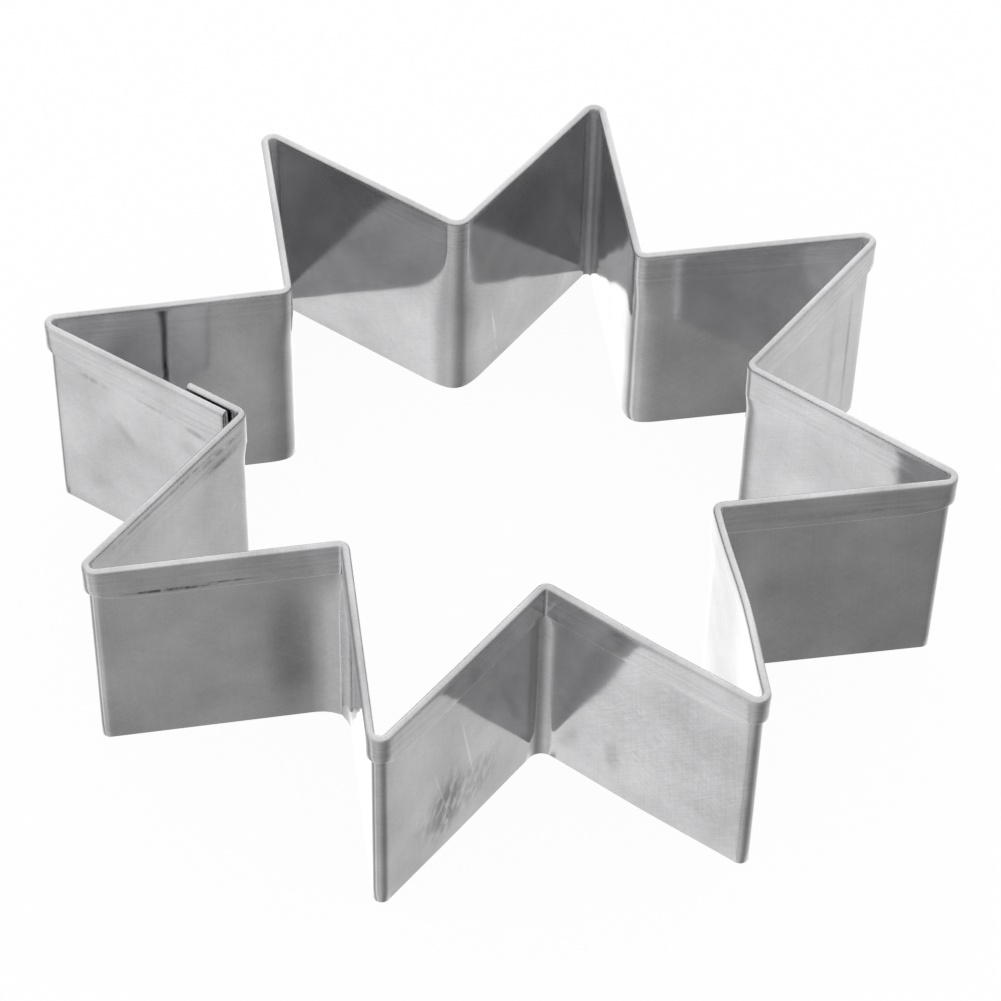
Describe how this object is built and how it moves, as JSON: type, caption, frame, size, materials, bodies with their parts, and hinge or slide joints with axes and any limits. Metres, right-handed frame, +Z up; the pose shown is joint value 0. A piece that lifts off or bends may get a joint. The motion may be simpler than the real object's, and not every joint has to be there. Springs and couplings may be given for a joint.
{
  "type": "star cookie cutter",
  "caption": "Star cookie cutter: a sheet metal strip bent round a pointed star, hemmed along its top and open right through, with a lapped and spot welded seam beside a valley.",
  "frame": {"origin": "centre of the star's box, on the plane of the cutting edge", "axes": "+Z up from the cutting edge to the hem, +X towards the first tip of the star"},
  "size_m": [0.0963, 0.097, 0.025],
  "materials": {
    "bright_sheet": "bright and mirror-like, with light handling scuffs"
  },
  "bodies": {
    "root": {"star_band": "bright_sheet"}
  },
  "joints": []
}
